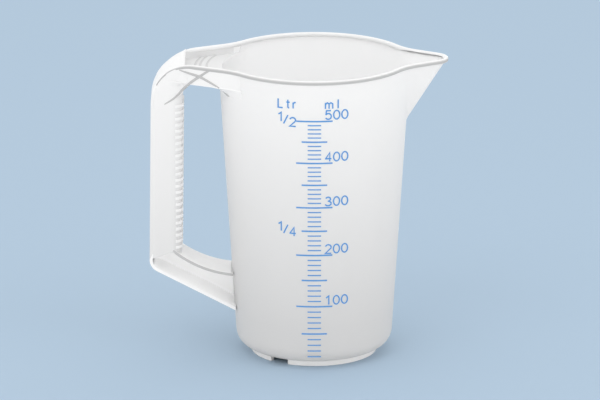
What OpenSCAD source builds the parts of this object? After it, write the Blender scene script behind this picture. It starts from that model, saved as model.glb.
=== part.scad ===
// Half litre measuring jug: tapered cup with a pouring spout, a tray bridge and a ribbed grip.
// The cup axis is Z, the spout points along +X, the handle along -X and the scale faces -Y.

/* [Cup] */
// Height from the table to the top of the rim
jug_height = 137; // [130:1:145]
// Outer radius of the side wall, carried down to the table
base_radius = 34.75; // [33.5:0.25:36]
// Outer radius of the side wall at the rim
mouth_radius = 43.35; // [42.5:0.05:44.5]
// Thickness of every wall
wall = 1.4; // [1.2:0.1:1.6]
// Outer radius of the round corner between wall and floor
corner_radius = 8; // [6:0.5:9]
// Height of the foot ring under the floor
foot_height = 2.4; // [2:0.1:3]
// Distance from the base radius in to the outer face of the foot ring
foot_setback = 6.25; // [5.75:0.25:7.5]
// Width of the foot ring
foot_width = 2; // [1.5:0.1:3]
// Length of each notch along the foot ring
notch_length = 9; // [6:0.5:12]
// Turn of the first notch from the front of the cup
notch_turn = -34; // [-45:1:-20]
// Height of the thick lip around the rim
lip_height = 1.8; // [1.4:0.1:2.4]
// How far the lip stands out from the wall
lip_out = 0.3; // [0.2:0.05:0.5]

/* [Spout] */
// Distance from the rim circle to the tip of the spout
spout_length = 16.65; // [14:0.05:19]
// Radius of the tip, seen from above
spout_tip_radius = 8; // [6:0.5:9]
// Angle of each spout flank from the middle plane, seen from above
spout_angle = 30.5; // [28:0.5:33]
// Radius of the keel where it leaves the cup
spout_keel_radius = 2.2; // [2:0.1:3]
// Depth below the rim at which the keel leaves the cup
spout_depth = 29; // [25:1:33]
// Radius that leads the rim into the spout
spout_blend = 25; // [20:1:30]

/* [Bridge] */
// Angle of each bridge flank from the middle plane, seen from above
bridge_angle = 26; // [24:0.5:28]
// How far past the grip's inner face the flanks narrow to the grip's width
flank_run = 7.1; // [6:0.1:8]
// Radius that leads the rim into the bridge
bridge_blend = 30; // [25:1:35]
// Depth of the bridge from the rim to the top of the finger hole
bridge_depth = 10.2; // [9:0.2:12]
// Depth of the tray floor below the rim
tray_depth = 4.5; // [3.5:0.1:5]
// Distance from the outer end of the tray to the grip's inner face
tray_margin = 1.1; // [0.6:0.1:2]
// Distance from the rim circle to the innermost curved tray rib
rib_margin = 5.05; // [4.5:0.05:5.5]
// Distance between two curved tray ribs
rib_pitch = 2.6; // [2.2:0.1:2.9]
// Thickness of the curved tray ribs
rib_thick = 0.8; // [0.6:0.1:1]
// Depth of the tray ribs' top edges below the rim
rib_depth = 1.4; // [1:0.1:2]
// Width of the crossing beads on the bridge flanks
bead_width = 1; // [0.8:0.1:1.3]
// How far the crossing beads stand out
bead_out = 0.5; // [0.4:0.1:0.7]

/* [Grip] */
// Room for the fingers between the rim circle and the grip's inner face
finger_gap = 15.75; // [15:0.05:17]
// Size of the grip from its inner face to its back
grip_depth = 14.4; // [13.5:0.1:15]
// Half width of the grip
grip_half = 10; // [9.5:0.1:10.5]
// Radius of the grip's inner corners, under the fingers
finger_radius = 4.5; // [4:0.5:6]
// Radius of the grip's back corners
back_radius = 2; // [1.6:0.1:2.5]
// Radius of the shoulder between bridge and grip
shoulder_radius = 20; // [18:0.5:21]
// Lean of the grip away from the cup, going down
lean = 0.7; // [0.5:0.1:1]
// Clearance between the lowest finger rib and the lower arm
finger_rib_clear = 0.8; // [0.6:0.1:2]
// Distance between two finger ribs
finger_rib_pitch = 2.87; // [2.4:0.01:2.95]
// Height of each finger rib
finger_rib_height = 1.3; // [1:0.1:1.6]
// How far back the finger ribs reach from the inner face
finger_rib_reach = 3.4; // [2.5:0.1:4]
// How far the finger ribs stand out
finger_rib_out = 0.5; // [0.4:0.1:0.8]
// Height at which the side faces of the grip end
grip_low = 45.3; // [44:0.1:46]

/* [Lower arm] */
// Radius of the curved upper plate
plate_radius = 48; // [46:0.5:50]
// Distance from the cup axis to the lowest point of that curve
plate_centre = 32.3; // [31:0.1:34]
// Height of the lowest point of the upper plate's top face
plate_low = 38; // [37:0.1:39]
// Slope of the lower plate
arm_slope = 27.5; // [26:0.5:29]
// Height at which the lower plate would meet the base radius
arm_root = 20.2; // [19:0.1:22]
// Radius of the heel between grip and lower plate
heel_radius = 6; // [5:0.5:7]
// Distance of the recessed web from the middle plane
web_offset = 7.4; // [6:0.1:8]

/* [Scale] */
// Depth of the top line below the rim, which makes its 500 millilitres true
top_line_depth = 18.6; // [17:0.1:20]
// Thickness of the printed ink
ink = 0.12; // [0.1:0.01:0.2]
// Half length of the lines at every 100 millilitres
long_half = 8.1; // [7.5:0.1:8.5]
// Half length of the lines at every 50 millilitres
medium_half = 5.7; // [5:0.1:6.5]
// Half length of the ticks at every 10 millilitres
short_half = 3; // [2.5:0.1:3.5]
// Height of the long and medium lines
line_height = 0.65; // [0.5:0.05:0.8]
// Height of the short ticks
tick_height = 0.5; // [0.4:0.05:0.6]
// Height of the figures
figure_height = 4.1; // [3.8:0.1:4.4]
// Width of one figure
figure_width = 2.7; // [2.4:0.1:2.9]
// Gap between two figures
figure_gap = 0.95; // [0.8:0.05:1.2]
// Stroke of the figures
stroke_width = 0.6; // [0.5:0.05:0.7]
// Distance from the middle of the scale to the numerals
numeral_start = 4.9; // [4.5:0.1:5.5]
// Rise of the numerals above their line
numeral_rise = 0.9; // [0.6:0.1:1.2]
// Distance from the middle of the scale to the fractions' left edge
fraction_start = 16.4; // [16:0.1:17]
// Drop of the fractions' slash below their line
fraction_drop = 1.5; // [1:0.1:2]
// Rise of the unit headings above the top line
heading_rise = 5.9; // [5.6:0.1:6.5]

/* [Hidden] */

plastic = [0.93, 0.93, 0.93, 0.6];
ink_blue = [0.27, 0.53, 0.87];

// One overrun, larger than any part of the jug is wide, serves all cuts
past = jug_height;
arc_steps = 10;
spout_steps = 6;
round_steps = 96;
oval_turn = 22.5;

flare = (mouth_radius - base_radius) / jug_height;
wall_angle = atan(flare);
wall_across = wall / cos(wall_angle);
floor_top = foot_height + wall;
foot_radius = base_radius - foot_setback;
lip_bottom = jug_height - lip_height;
corner_z = foot_height + corner_radius;
corner_x = outer_radius(corner_z) - corner_radius / cos(wall_angle);

spout_reach = mouth_radius + spout_length;
spout_low = jug_height - spout_depth;
spout_normal = 90 - spout_angle;
spout_tip = [spout_reach - spout_tip_radius, 0];
spout_offset = spout_tip * heading(spout_normal) + spout_tip_radius;
spout_root = outer_radius(spout_low) + wall / 4;
spout_levels = [for (i = [0:spout_steps]) spout_low + (lip_bottom - spout_low) * i / spout_steps];

grip_inner = mouth_radius + finger_gap;
bridge_normal = 90 + bridge_angle;
hole_top = jug_height - bridge_depth;
tray_floor = jug_height - tray_depth;
tray_reach = grip_inner - tray_margin;
rib_first = mouth_radius + rib_margin;
flank_end = grip_inner + flank_run;
bridge_offset = flank_end * sin(bridge_angle) + grip_half * cos(bridge_angle);

grip_back = grip_inner + grip_depth;
shoulder_z = jug_height - shoulder_radius;
shoulder_centre = [shoulder_radius / cos(lean) - grip_back, shoulder_z];
back_normal = 180 - lean;
under_normal = 270 - arm_slope;
back_offset = shoulder_centre * heading(back_normal) + shoulder_radius;
under_offset = [-base_radius, arm_root] * heading(under_normal);
plate_middle = [-plate_centre, plate_low + plate_radius];
finger_rib_top = shoulder_z - finger_rib_height / 2;
finger_rib_low = plate_z(grip_inner + finger_rib_reach) + finger_rib_clear + finger_rib_height / 2;
finger_rib_count = 1 + floor((finger_rib_top - finger_rib_low) / finger_rib_pitch);

// Heights and outlines of the beads, from the depth and reach of the bridge
bead_long_low = [-grip_inner - grip_depth / 2, hole_top - bridge_depth];
bead_long_high = [-mouth_radius - wall, lip_bottom];
bead_short_low = [-mouth_radius + 3 * wall, hole_top];
bead_short_high = [-grip_inner - wall, lip_bottom - wall];
bead_sag = wall;

full_volume = 500;
hundred = 100;
fifty = 50;
ten = 10;
floor_radius = outer_radius(floor_top) - wall_across;
full_radius = outer_radius(jug_height - top_line_depth) - wall_across;

function heading(angle) = [cos(angle), sin(angle)];
function outer_radius(z) = base_radius + flare * z;
function plate_z(x) = plate_middle[1] - sqrt(pow(plate_radius, 2) - pow(x - plate_centre, 2));
function arc(centre, radius, from, to, steps = arc_steps) =
    [for (i = [0:steps]) centre + radius * heading(from + (to - from) * i / steps)];
function mirrored(points) = [for (i = [len(points) - 1:-1:0]) [points[i][0], -points[i][1]]];

// Where two lines meet, each given by the heading of its normal and its distance from the origin
function meet(a, p, b, q) =
    [p * sin(b) - q * sin(a), q * cos(a) - p * cos(b)] / sin(b - a);

// Heading from the cup axis to the centre of the arc that leads the rim into a flank
function blend_heading(normal, offset, blend, side) =
    normal + side * acos((offset + blend) / (mouth_radius + blend));

// Mouth outline seen from above: rim circle, spout and bridge, moved outward by grow
spout_heading = blend_heading(spout_normal, spout_offset, spout_blend, -1);
bridge_heading = blend_heading(bridge_normal, bridge_offset, bridge_blend, 1);
function mouth_half(grow) = concat(
    arc(spout_tip, spout_tip_radius + grow, 0, spout_normal),
    arc((mouth_radius + spout_blend) * heading(spout_heading), spout_blend - grow,
        spout_normal + 180, spout_heading + 180),
    arc([0, 0], mouth_radius + grow, spout_heading, bridge_heading, round_steps / 3),
    arc((mouth_radius + bridge_blend) * heading(bridge_heading), bridge_blend - grow,
        bridge_heading + 180, bridge_normal + 180),
    [[-flank_end, grip_half + grow], [-grip_back - past, grip_half + grow]]
);
function mouth_outline(grow) = concat(mouth_half(grow), mirrored(mouth_half(grow)));

// Bridge and grip seen from above, moved inward by inset, from inside the cup to past the back
function handle_half(inset) = concat(
    [[-mouth_radius / 2, (mouth_radius - inset) * sin(bridge_heading) * sin(bridge_heading)]],
    arc((mouth_radius + bridge_blend) * heading(bridge_heading), bridge_blend + inset,
        bridge_heading + 180, bridge_normal + 180),
    [[-flank_end, grip_half - inset], [-grip_back - past, grip_half - inset]]
);
function handle_plan(inset) = concat(handle_half(inset), mirrored(handle_half(inset)));

// A flank seen from above: side 1 is the rear one, side -1 the front one
function flank_strip(outside, inside, side) = let (
    outer = handle_half(outside),
    inner = handle_half(inside)
) [for (p = concat(outer, [for (i = [len(inner) - 1:-1:0]) inner[i]])) [p[0], side * p[1]]];

// Bridge, grip and lower arm seen from the front, moved inward by inset
heel_centre = meet(back_normal, back_offset - heel_radius, under_normal, under_offset - heel_radius);
function handle_side(inset) = concat(
    [[0, jug_height - inset]],
    arc(shoulder_centre, shoulder_radius - inset, 90, back_normal),
    arc(heel_centre, heel_radius - inset, back_normal, under_normal),
    [[0, (under_offset - inset) / sin(under_normal)]]
);

// Height of the line for a volume: the tapered inside holds that share of what fits under the top line
function fill_radius(share) =
    pow(pow(floor_radius, 3) + share * (pow(full_radius, 3) - pow(floor_radius, 3)), 1 / 3);
function line_z(millilitres) =
    floor_top + (fill_radius(millilitres / full_volume) - floor_radius) / flare;

// The solid that the cup wall encloses, moved outward by grow
module cup_solid(grow = 0) {
    translate([0, 0, -past])
        cylinder(h = past + past, r1 = outer_radius(-past) + grow, r2 = outer_radius(past) + grow, $fn = round_steps);
}

// A shape drawn as seen from the front, carried through the whole width
module through(half = past) {
    rotate([90, 0, 0])
        linear_extrude(height = 2 * half, center = true)
            children();
}

// Everything between two heights
module level(low, high) {
    translate([-past, -past, low])
        cube([2 * past, 2 * past, high - low]);
}

module side_profile(inset) {
    through()
        polygon(handle_side(inset));
}

module plan_prism(inset, low, high) {
    translate([0, 0, low])
        linear_extrude(height = high - low)
            polygon(handle_plan(inset));
}

// The spout at a height: heading at which its blend touches the cup, and half its outline, moved inward
function spout_share(z) = (z - spout_low) / (jug_height - spout_low);
function spout_tip_at(z) = spout_keel_radius + spout_share(z) * (spout_tip_radius - spout_keel_radius);
function spout_centre_at(z) = spout_root + spout_share(z) * (spout_reach - spout_root) - spout_tip_at(z);
function spout_blend_at(z) = max(spout_blend * spout_share(z), spout_keel_radius);
function spout_blend_reach(z) = outer_radius(z) + spout_blend_at(z);
// Low on the keel the flank has no straight stretch, and the tip's arc runs into the blend's arc
function spout_short_turn(z) = let (
    centre = spout_centre_at(z),
    reach = spout_blend_reach(z),
    arcs = spout_tip_at(z) + spout_blend_at(z)
) acos((pow(centre, 2) + pow(reach, 2) - pow(arcs, 2)) / (2 * centre * reach));
function spout_short_normal(z) = let (
    across = spout_blend_reach(z) * heading(spout_short_turn(z)) - [spout_centre_at(z), 0]
) atan2(across[1], across[0]);
function spout_long_turn(z) = let (offset = spout_centre_at(z) * cos(spout_normal) + spout_tip_at(z))
    spout_normal - acos((offset + spout_blend_at(z)) / spout_blend_reach(z));
function spout_normal_at(z) = min(spout_normal, spout_short_normal(z));
function spout_turn(z) = spout_short_normal(z) < spout_normal ? spout_short_turn(z) : spout_long_turn(z);
function spout_half(z, inset) = concat(
    arc([spout_centre_at(z), 0], spout_tip_at(z) - inset, 0, spout_normal_at(z), spout_steps),
    arc(spout_blend_reach(z) * heading(spout_turn(z)), spout_blend_at(z) + inset,
        spout_normal_at(z) + 180, spout_turn(z) + 180, spout_steps)
);

// A solid through outlines of equally many points, one at each height
module loft(outlines, heights) {
    n = len(outlines[0]);
    last = len(heights) - 1;
    sides = [
        for (i = [0:last - 1])
            for (j = [0:n - 1])
                let (k = (j + 1) % n)
                    each [
                        [i * n + j, (i + 1) * n + j, i * n + k],
                        [i * n + k, (i + 1) * n + j, (i + 1) * n + k]
                    ]
    ];
    polyhedron(
        points = [for (i = [0:last]) for (p = outlines[i]) [p[0], p[1], heights[i]]],
        faces = concat([[for (j = [0:n - 1]) j]], [[for (j = [n - 1:-1:0]) last * n + j]], sides)
    );
}

// The part of the cup wall that the spout opens
module spout_gap() {
    levels = concat(spout_levels, [jug_height]);
    near = spout_root - 2 * wall;
    far = mouth_radius + wall;
    loft(
        [for (z = levels) [
            near * heading(-spout_turn(z)), far * heading(-spout_turn(z)), [2 * mouth_radius, 0],
            far * heading(spout_turn(z)), near * heading(spout_turn(z))
        ]],
        levels
    );
}

module side_wall() {
    low_out = [corner_x, corner_z] + corner_radius * heading(-wall_angle);
    low_in = [corner_x, corner_z] + (corner_radius - wall) * heading(-wall_angle);
    color(plastic)
        difference() {
            rotate_extrude($fn = round_steps)
                polygon([
                    low_out,
                    [outer_radius(lip_bottom), lip_bottom],
                    [outer_radius(lip_bottom) - wall_across, lip_bottom],
                    low_in
                ]);
            spout_gap();
            plan_prism(wall, tray_floor, past + jug_height);
        }
}

module base_corner() {
    centre = [corner_x, corner_z];
    outside = arc(centre, corner_radius, -90, -wall_angle);
    inside = arc(centre, corner_radius - wall, -wall_angle, -90);
    color(plastic)
        rotate_extrude($fn = round_steps)
            polygon(concat(outside, inside));
}

module floor_plate() {
    color(plastic)
        translate([0, 0, foot_height])
            cylinder(h = wall, r = corner_x, $fn = round_steps);
}

module foot_ring() {
    color(plastic)
        difference() {
            cylinder(h = foot_height, r = foot_radius, $fn = round_steps);
            translate([0, 0, -past])
                cylinder(h = 2 * past, r = foot_radius - foot_width, $fn = round_steps);
            for (turn = [0, 180])
                rotate([0, 0, notch_turn + turn])
                    translate([-notch_length / 2, -past, -past])
                        cube([notch_length, past, 2 * past]);
        }
}

module rim_lip() {
    color(plastic)
        difference() {
            translate([0, 0, lip_bottom])
                linear_extrude(height = lip_height)
                    difference() {
                        polygon(mouth_outline(lip_out));
                        polygon(mouth_outline(-wall - lip_out));
                    }
            translate([-tray_reach - 2 * past, -past, 0])
                cube([2 * past, 2 * past, 2 * past]);
        }
}

// Outline of the spout's rear flank at a height, from the keel round to the cup and back inside
function spout_flank(z) = let (
    outside = spout_half(z, 0),
    inside = spout_half(z, wall)
) concat(outside, [for (i = [len(inside) - 1:-1:0]) inside[i]]);

module spout_front() {
    color(plastic)
        mirror([0, 1, 0])
            loft([for (z = spout_levels) spout_flank(z)], spout_levels);
}

module spout_rear() {
    color(plastic)
        loft([for (z = spout_levels) spout_flank(z)], spout_levels);
}

module flank_prism(outside, inside, side) {
    translate([0, 0, hole_top])
        linear_extrude(height = lip_bottom - hole_top)
            polygon(flank_strip(outside, inside, side));
}

module bridge_side(side) {
    difference() {
        intersection() {
            flank_prism(0, wall, side);
            side_profile(wall);
        }
        cup_solid();
    }
}

module bridge_side_front() {
    color(plastic)
        bridge_side(-1);
}

module bridge_side_rear() {
    color(plastic)
        bridge_side(1);
}

module bridge_underside() {
    color(plastic)
        difference() {
            plan_prism(wall, hole_top, hole_top + wall);
            cup_solid();
            translate([-2 * past - grip_inner, -past, 0])
                cube([2 * past, 2 * past, 2 * past]);
        }
}

// A curved bar seen from the front, sagging below or above the straight line between two points
module curved_bar(from, to, sag, width) {
    span = norm(to - from);
    radius = (span * span / 4 + sag * sag) / (2 * sag);
    tilt = atan2(to[1] - from[1], to[0] - from[0]);
    reach = asin(span / 2 / radius);
    middle = (from + to) / 2 + (radius - sag) * heading(tilt - 90);
    polygon(concat(
        arc(middle, radius + width / 2, tilt + 90 + reach, tilt + 90 - reach),
        arc(middle, radius - width / 2, tilt + 90 - reach, tilt + 90 + reach)
    ));
}

module bridge_beads() {
    color(plastic)
        difference() {
            intersection() {
                union() {
                    flank_prism(-bead_out, 0, -1);
                    flank_prism(-bead_out, 0, 1);
                }
                side_profile(wall);
                through()
                    union() {
                        curved_bar(bead_long_low, bead_long_high, bead_sag, bead_width);
                        curved_bar(bead_short_high, bead_short_low, bead_sag, bead_width);
                    }
            }
            cup_solid();
        }
}

// Tray floor with the upright wall that closes its outer end
module thumb_tray() {
    color(plastic)
        intersection() {
            difference() {
                plan_prism(wall, tray_floor - wall, lip_bottom);
                cup_solid();
                translate([-tray_reach, -past, tray_floor])
                    cube([2 * past, 2 * past, past]);
                translate([-2 * past - tray_reach - wall, -past, 0])
                    cube([2 * past, 2 * past, 2 * past]);
            }
            side_profile(wall);
        }
}

module tray_ribs() {
    color(plastic)
        intersection() {
            plan_prism(wall, tray_floor, jug_height - rib_depth);
            translate([-tray_reach, -past, 0])
                cube([tray_reach, 2 * past, 2 * past]);
            union() {
                for (i = [0:2])
                    difference() {
                        cylinder(h = jug_height, r = rib_first + i * rib_pitch + rib_thick, $fn = round_steps);
                        cylinder(h = 2 * past, r = rib_first + i * rib_pitch, $fn = round_steps);
                    }
            }
        }
}

module shoulder_cap() {
    color(plastic)
        intersection() {
            difference() {
                side_profile(0);
                side_profile(wall);
            }
            plan_prism(0, shoulder_z, jug_height);
            translate([-2 * past - tray_reach, -past, 0])
                cube([2 * past, 2 * past, 2 * past]);
        }
}

// Section of the grip: flat back, round inner corners, moved inward by inset
module grip_section(inset) {
    deep = grip_depth - inset;
    wide = grip_half - inset;
    front = finger_radius - inset;
    rear = max(back_radius - inset, wall / 4);
    half = concat(
        [[-inset, 0]],
        arc([-finger_radius, wide - front], front, 0, 90),
        arc([rear - deep, wide - rear], rear, 90, 180),
        [[-deep, 0]]
    );
    polygon(concat(half, mirrored(half)));
}

// The leaning grip, from the foot of the jug up, with its inner face in place at the shoulder
module grip_column(inset) {
    translate([-grip_inner, 0, shoulder_z])
        rotate([0, lean, 0])
            translate([0, 0, -past])
                linear_extrude(height = 2 * past)
                    grip_section(inset);
}

// The disc under whose rim the upper plate of the lower arm lies
module plate_disc(grow) {
    through()
        translate(plate_middle)
            circle(r = plate_radius + grow, $fn = round_steps);
}

// Everything on the cup's side of the middle of the grip
module inner_side() {
    translate([-grip_inner - grip_depth / 2, -past, 0])
        cube([past, 2 * past, 2 * past]);
}

module grip_shell() {
    color(plastic)
        difference() {
            intersection() {
                difference() {
                    grip_column(0);
                    grip_column(wall);
                }
                level(grip_low, hole_top);
                union() {
                    level(0, shoulder_z);
                    side_profile(wall);
                }
            }
            difference() {
                intersection() {
                    level(0, plate_middle[1]);
                    inner_side();
                }
                plate_disc(0);
            }
        }
}

module finger_ribs() {
    color(plastic)
        intersection() {
            difference() {
                grip_column(-finger_rib_out);
                grip_column(0);
            }
            translate([-grip_inner - finger_rib_reach, -past, 0])
                cube([past, 2 * past, past]);
            union() {
                for (i = [0:finger_rib_count - 1])
                    level(finger_rib_top - i * finger_rib_pitch - finger_rib_height / 2,
                        finger_rib_top - i * finger_rib_pitch + finger_rib_height / 2);
            }
        }
}

module arm_upper_plate() {
    color(plastic)
        difference() {
            intersection() {
                difference() {
                    plate_disc(wall);
                    plate_disc(0);
                }
                level(0, plate_middle[1] - plate_radius / 2);
                union() {
                    grip_column(wall);
                    intersection() {
                        inner_side();
                        translate([-past, -grip_half, 0])
                            cube([past, 2 * grip_half, past]);
                    }
                }
            }
            cup_solid();
        }
}

module arm_lower_plate() {
    color(plastic)
        difference() {
            intersection() {
                side_profile(0);
                level(0, grip_low);
                translate([-past, -grip_half, 0])
                    cube([past, 2 * grip_half, past]);
            }
            side_profile(wall);
            cup_solid();
        }
}

module arm_web() {
    color(plastic)
        difference() {
            intersection() {
                side_profile(wall);
                translate([-past, web_offset, 0])
                    cube([past, wall, grip_low]);
            }
            plate_disc(wall);
            cup_solid();
        }
}

// Skin of ink on the front of the cup
module printed() {
    color(ink_blue)
        intersection() {
            difference() {
                cup_solid(ink);
                cup_solid();
            }
            children();
        }
}

// A band from one x to another, centred on a height
module print_line(half, z, height) {
    translate([-half, -past, z - height / 2])
        cube([2 * half, past, height]);
}

module hundred_lines() {
    printed()
        union() {
            for (v = [hundred:hundred:full_volume])
                print_line(long_half, line_z(v), line_height);
        }
}

module fifty_lines() {
    printed()
        union() {
            for (v = [fifty:hundred:full_volume])
                print_line(medium_half, line_z(v), line_height);
        }
}

module ten_ticks() {
    printed()
        union() {
            for (v = [ten:ten:full_volume])
                if (v % fifty != 0)
                    print_line(short_half, line_z(v), tick_height);
        }
}

// A stroke of even width through points, mitred at its bends
function turn_at(points, i) = let (
    before = points[max(i, 1)] - points[max(i, 1) - 1],
    after = points[min(i, len(points) - 2) + 1] - points[min(i, len(points) - 2)],
    across = before / norm(before) + after / norm(after),
    normal = [-across[1], across[0]] / norm(across)
) normal / max(0.5, normal * [-after[1], after[0]] / norm(after));
module stroke(points) {
    last = len(points) - 1;
    polygon(concat(
        [for (i = [0:last]) points[i] + turn_at(points, i) * stroke_width / 2],
        [for (i = [last:-1:0]) points[i] - turn_at(points, i) * stroke_width / 2]
    ));
}

// Figures and letters as strokes, in shares of the figure's width and height
function bow(x, y, rx, ry, from, to, steps = 6) =
    [for (i = [0:steps]) [x, y] + [rx * cos(from + (to - from) * i / steps), ry * sin(from + (to - from) * i / steps)]];
function oval(grow) = [
    for (angle = [0:oval_turn:360 - oval_turn])
        [figure_width, figure_height] / 2
            + [(figure_width / 2 + grow) * cos(angle), (figure_height / 2 + grow) * sin(angle)]
];
function glyph_shares(c) =
    c == "0" ? [] :
    c == "1" ? [[[0.15, 0.78], [0.6, 1], [0.6, 0]]] :
    c == "2" ? [concat(bow(0.5, 0.72, 0.47, 0.28, 165, -35, 8), [[0, 0], [1, 0]])] :
    c == "3" ? [bow(0.45, 0.76, 0.42, 0.24, 155, -90), bow(0.45, 0.27, 0.53, 0.27, 95, -155)] :
    c == "4" ? [[[0.72, 0], [0.72, 1], [0.05, 0.3]], [[-0.05, 0.3], [1, 0.3]]] :
    c == "5" ? [[[0.92, 1], [0.18, 1], [0.08, 0.5]], bow(0.48, 0.34, 0.5, 0.34, 145, -150, 8)] :
    c == "L" ? [[[0.1, 1], [0.1, 0], [0.85, 0]]] :
    c == "t" ? [[[0.35, 0.95], [0.35, 0.1], [0.55, 0]], [[0.1, 0.68], [0.65, 0.68]]] :
    c == "r" ? [[[0.2, 0.68], [0.2, 0]], [[0.2, 0.45], [0.4, 0.68], [0.65, 0.68]]] :
    c == "m" ? [[[0, 0.68], [0, 0]], [[0, 0.5], [0.3, 0.68], [0.6, 0.55], [0.6, 0]],
        [[0.6, 0.55], [0.9, 0.68], [1.2, 0.55], [1.2, 0]]] :
    c == "l" ? [[[0.2, 1], [0.2, 0]]] :
    c == "/" ? [[[0, 0], [0.7, 1]]] : [];

module glyph(c) {
    if (c == "0")
        difference() {
            polygon(oval(stroke_width / 2));
            polygon(oval(-stroke_width / 2));
        }
    for (line = glyph_shares(c))
        stroke([for (p = line) [p[0] * figure_width, p[1] * figure_height]]);
}

// A word printed on the cup, its lower left corner at x and z
module print_word(word, x, z, pitch_shares) {
    translate([x, 0, z])
        rotate([90, 0, 0])
            linear_extrude(height = past)
                for (i = [0:len(word) - 1])
                    translate([pitch_shares[i] * (figure_width + figure_gap), 0])
                        glyph(word[i]);
}

module volume_numerals() {
    printed()
        union() {
            for (v = [hundred:hundred:full_volume])
                print_word(str(v), numeral_start, line_z(v) + numeral_rise, [0, 1, 2]);
        }
}

// A fraction with a raised numerator and a lowered denominator
module print_fraction(below, z) {
    drop = figure_height / 4;
    foot = z - fraction_drop;
    print_word("1", -fraction_start, foot + drop, [0]);
    print_word("/", -fraction_start + figure_width, foot, [0]);
    print_word(below, -fraction_start + 2 * figure_width, foot - drop, [0]);
}

module fraction_marks() {
    printed()
        union() {
            print_fraction("2", line_z(full_volume));
            print_fraction("4", line_z(full_volume / 2));
        }
}

module unit_headings() {
    z = line_z(full_volume) + heading_rise;
    printed()
        union() {
            print_word("Ltr", -fraction_start, z, [0, 1, 1.75]);
            print_word("ml", numeral_start, z, [0, 1.4]);
        }
}

side_wall();
base_corner();
floor_plate();
foot_ring();
rim_lip();
spout_front();
spout_rear();
bridge_side_front();
bridge_side_rear();
bridge_underside();
bridge_beads();
thumb_tray();
tray_ribs();
shoulder_cap();
grip_shell();
finger_ribs();
arm_upper_plate();
arm_lower_plate();
arm_web();
hundred_lines();
fifty_lines();
ten_ticks();
volume_numerals();
fraction_marks();
unit_headings();
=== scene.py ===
"""Looks of the half litre measuring jug: one translucent moulding with a printed blue scale."""

import logging
import math
from collections.abc import Callable, Sequence
from dataclasses import dataclass, field
from enum import Enum

import bmesh
import bpy
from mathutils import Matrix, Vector
from mathutils.bvhtree import BVHTree


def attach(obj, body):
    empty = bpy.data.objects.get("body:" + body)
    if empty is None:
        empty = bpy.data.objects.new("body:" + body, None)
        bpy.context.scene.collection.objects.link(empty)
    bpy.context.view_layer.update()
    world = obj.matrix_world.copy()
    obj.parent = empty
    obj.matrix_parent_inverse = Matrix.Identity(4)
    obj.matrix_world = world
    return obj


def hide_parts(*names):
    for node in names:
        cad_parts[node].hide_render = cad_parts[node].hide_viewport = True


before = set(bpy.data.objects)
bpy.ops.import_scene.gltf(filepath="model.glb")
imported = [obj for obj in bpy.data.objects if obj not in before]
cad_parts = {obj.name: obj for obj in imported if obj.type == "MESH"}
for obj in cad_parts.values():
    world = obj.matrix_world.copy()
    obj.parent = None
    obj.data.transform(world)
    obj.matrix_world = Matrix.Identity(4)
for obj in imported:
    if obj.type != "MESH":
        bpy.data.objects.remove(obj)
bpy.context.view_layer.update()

MM = 0.001
BODY = "root"
# Vertex weights of painted shade: the rim lip's outer face is painted darker.
PAINTED_RIM_SHADE = "painted_rim_shade"
TINY = 1e-9

log = logging.getLogger("measuring_jug")

Point = tuple[float, float]
Place = tuple[float, float, float]
Colour = tuple[float, float, float]


class Slot(Enum):
    """The record's material slots."""

    PLASTIC = "clear_plastic"
    INK = "blue_ink"


class Side(Enum):
    """The two sides of the jug's middle plane."""

    FRONT = -1
    REAR = 1


def heading(angle: float) -> Point:
    """Gives the unit vector at an angle in degrees."""
    return math.cos(math.radians(angle)), math.sin(math.radians(angle))


def bearing(point: Point) -> float:
    """Gives the angle in degrees at which a point lies from the origin."""
    return math.degrees(math.atan2(point[1], point[0]))


def dot(one: Point, two: Point) -> float:
    """Gives the scalar product of two vectors."""
    return one[0] * two[0] + one[1] * two[1]


def cross(one: Point, two: Point) -> float:
    """Gives the upright part of the vector product of two vectors."""
    return one[0] * two[1] - one[1] * two[0]


def spread(start: float, end: float, steps: int) -> list[float]:
    """Gives evenly spaced values from start to end, one more than the steps."""
    return [start + (end - start) * i / steps for i in range(steps + 1)]


def polar(radius: float, angle: float, centre: Point = (0.0, 0.0)) -> Point:
    """Gives the point at a distance and an angle in degrees from a centre."""
    out = heading(angle)
    return centre[0] + radius * out[0], centre[1] + radius * out[1]


def arc(centre: Point, radius: float, start: float, end: float, steps: int) -> list[Point]:
    """Gives points along an arc, one more than its steps.

    Args:
        centre: Centre of the arc.
        radius: Radius of the arc.
        start: Angle of the first point, in degrees.
        end: Angle of the last point, in degrees.
        steps: Number of steps between the two.

    Returns:
        The points.
    """
    return [polar(radius, angle, centre) for angle in spread(start, end, steps)]


def mirrored(points: Sequence[Point]) -> list[Point]:
    """Gives the points on the other side of the middle plane, in reversed order."""
    return [(x, -y) for x, y in reversed(points)]


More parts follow.
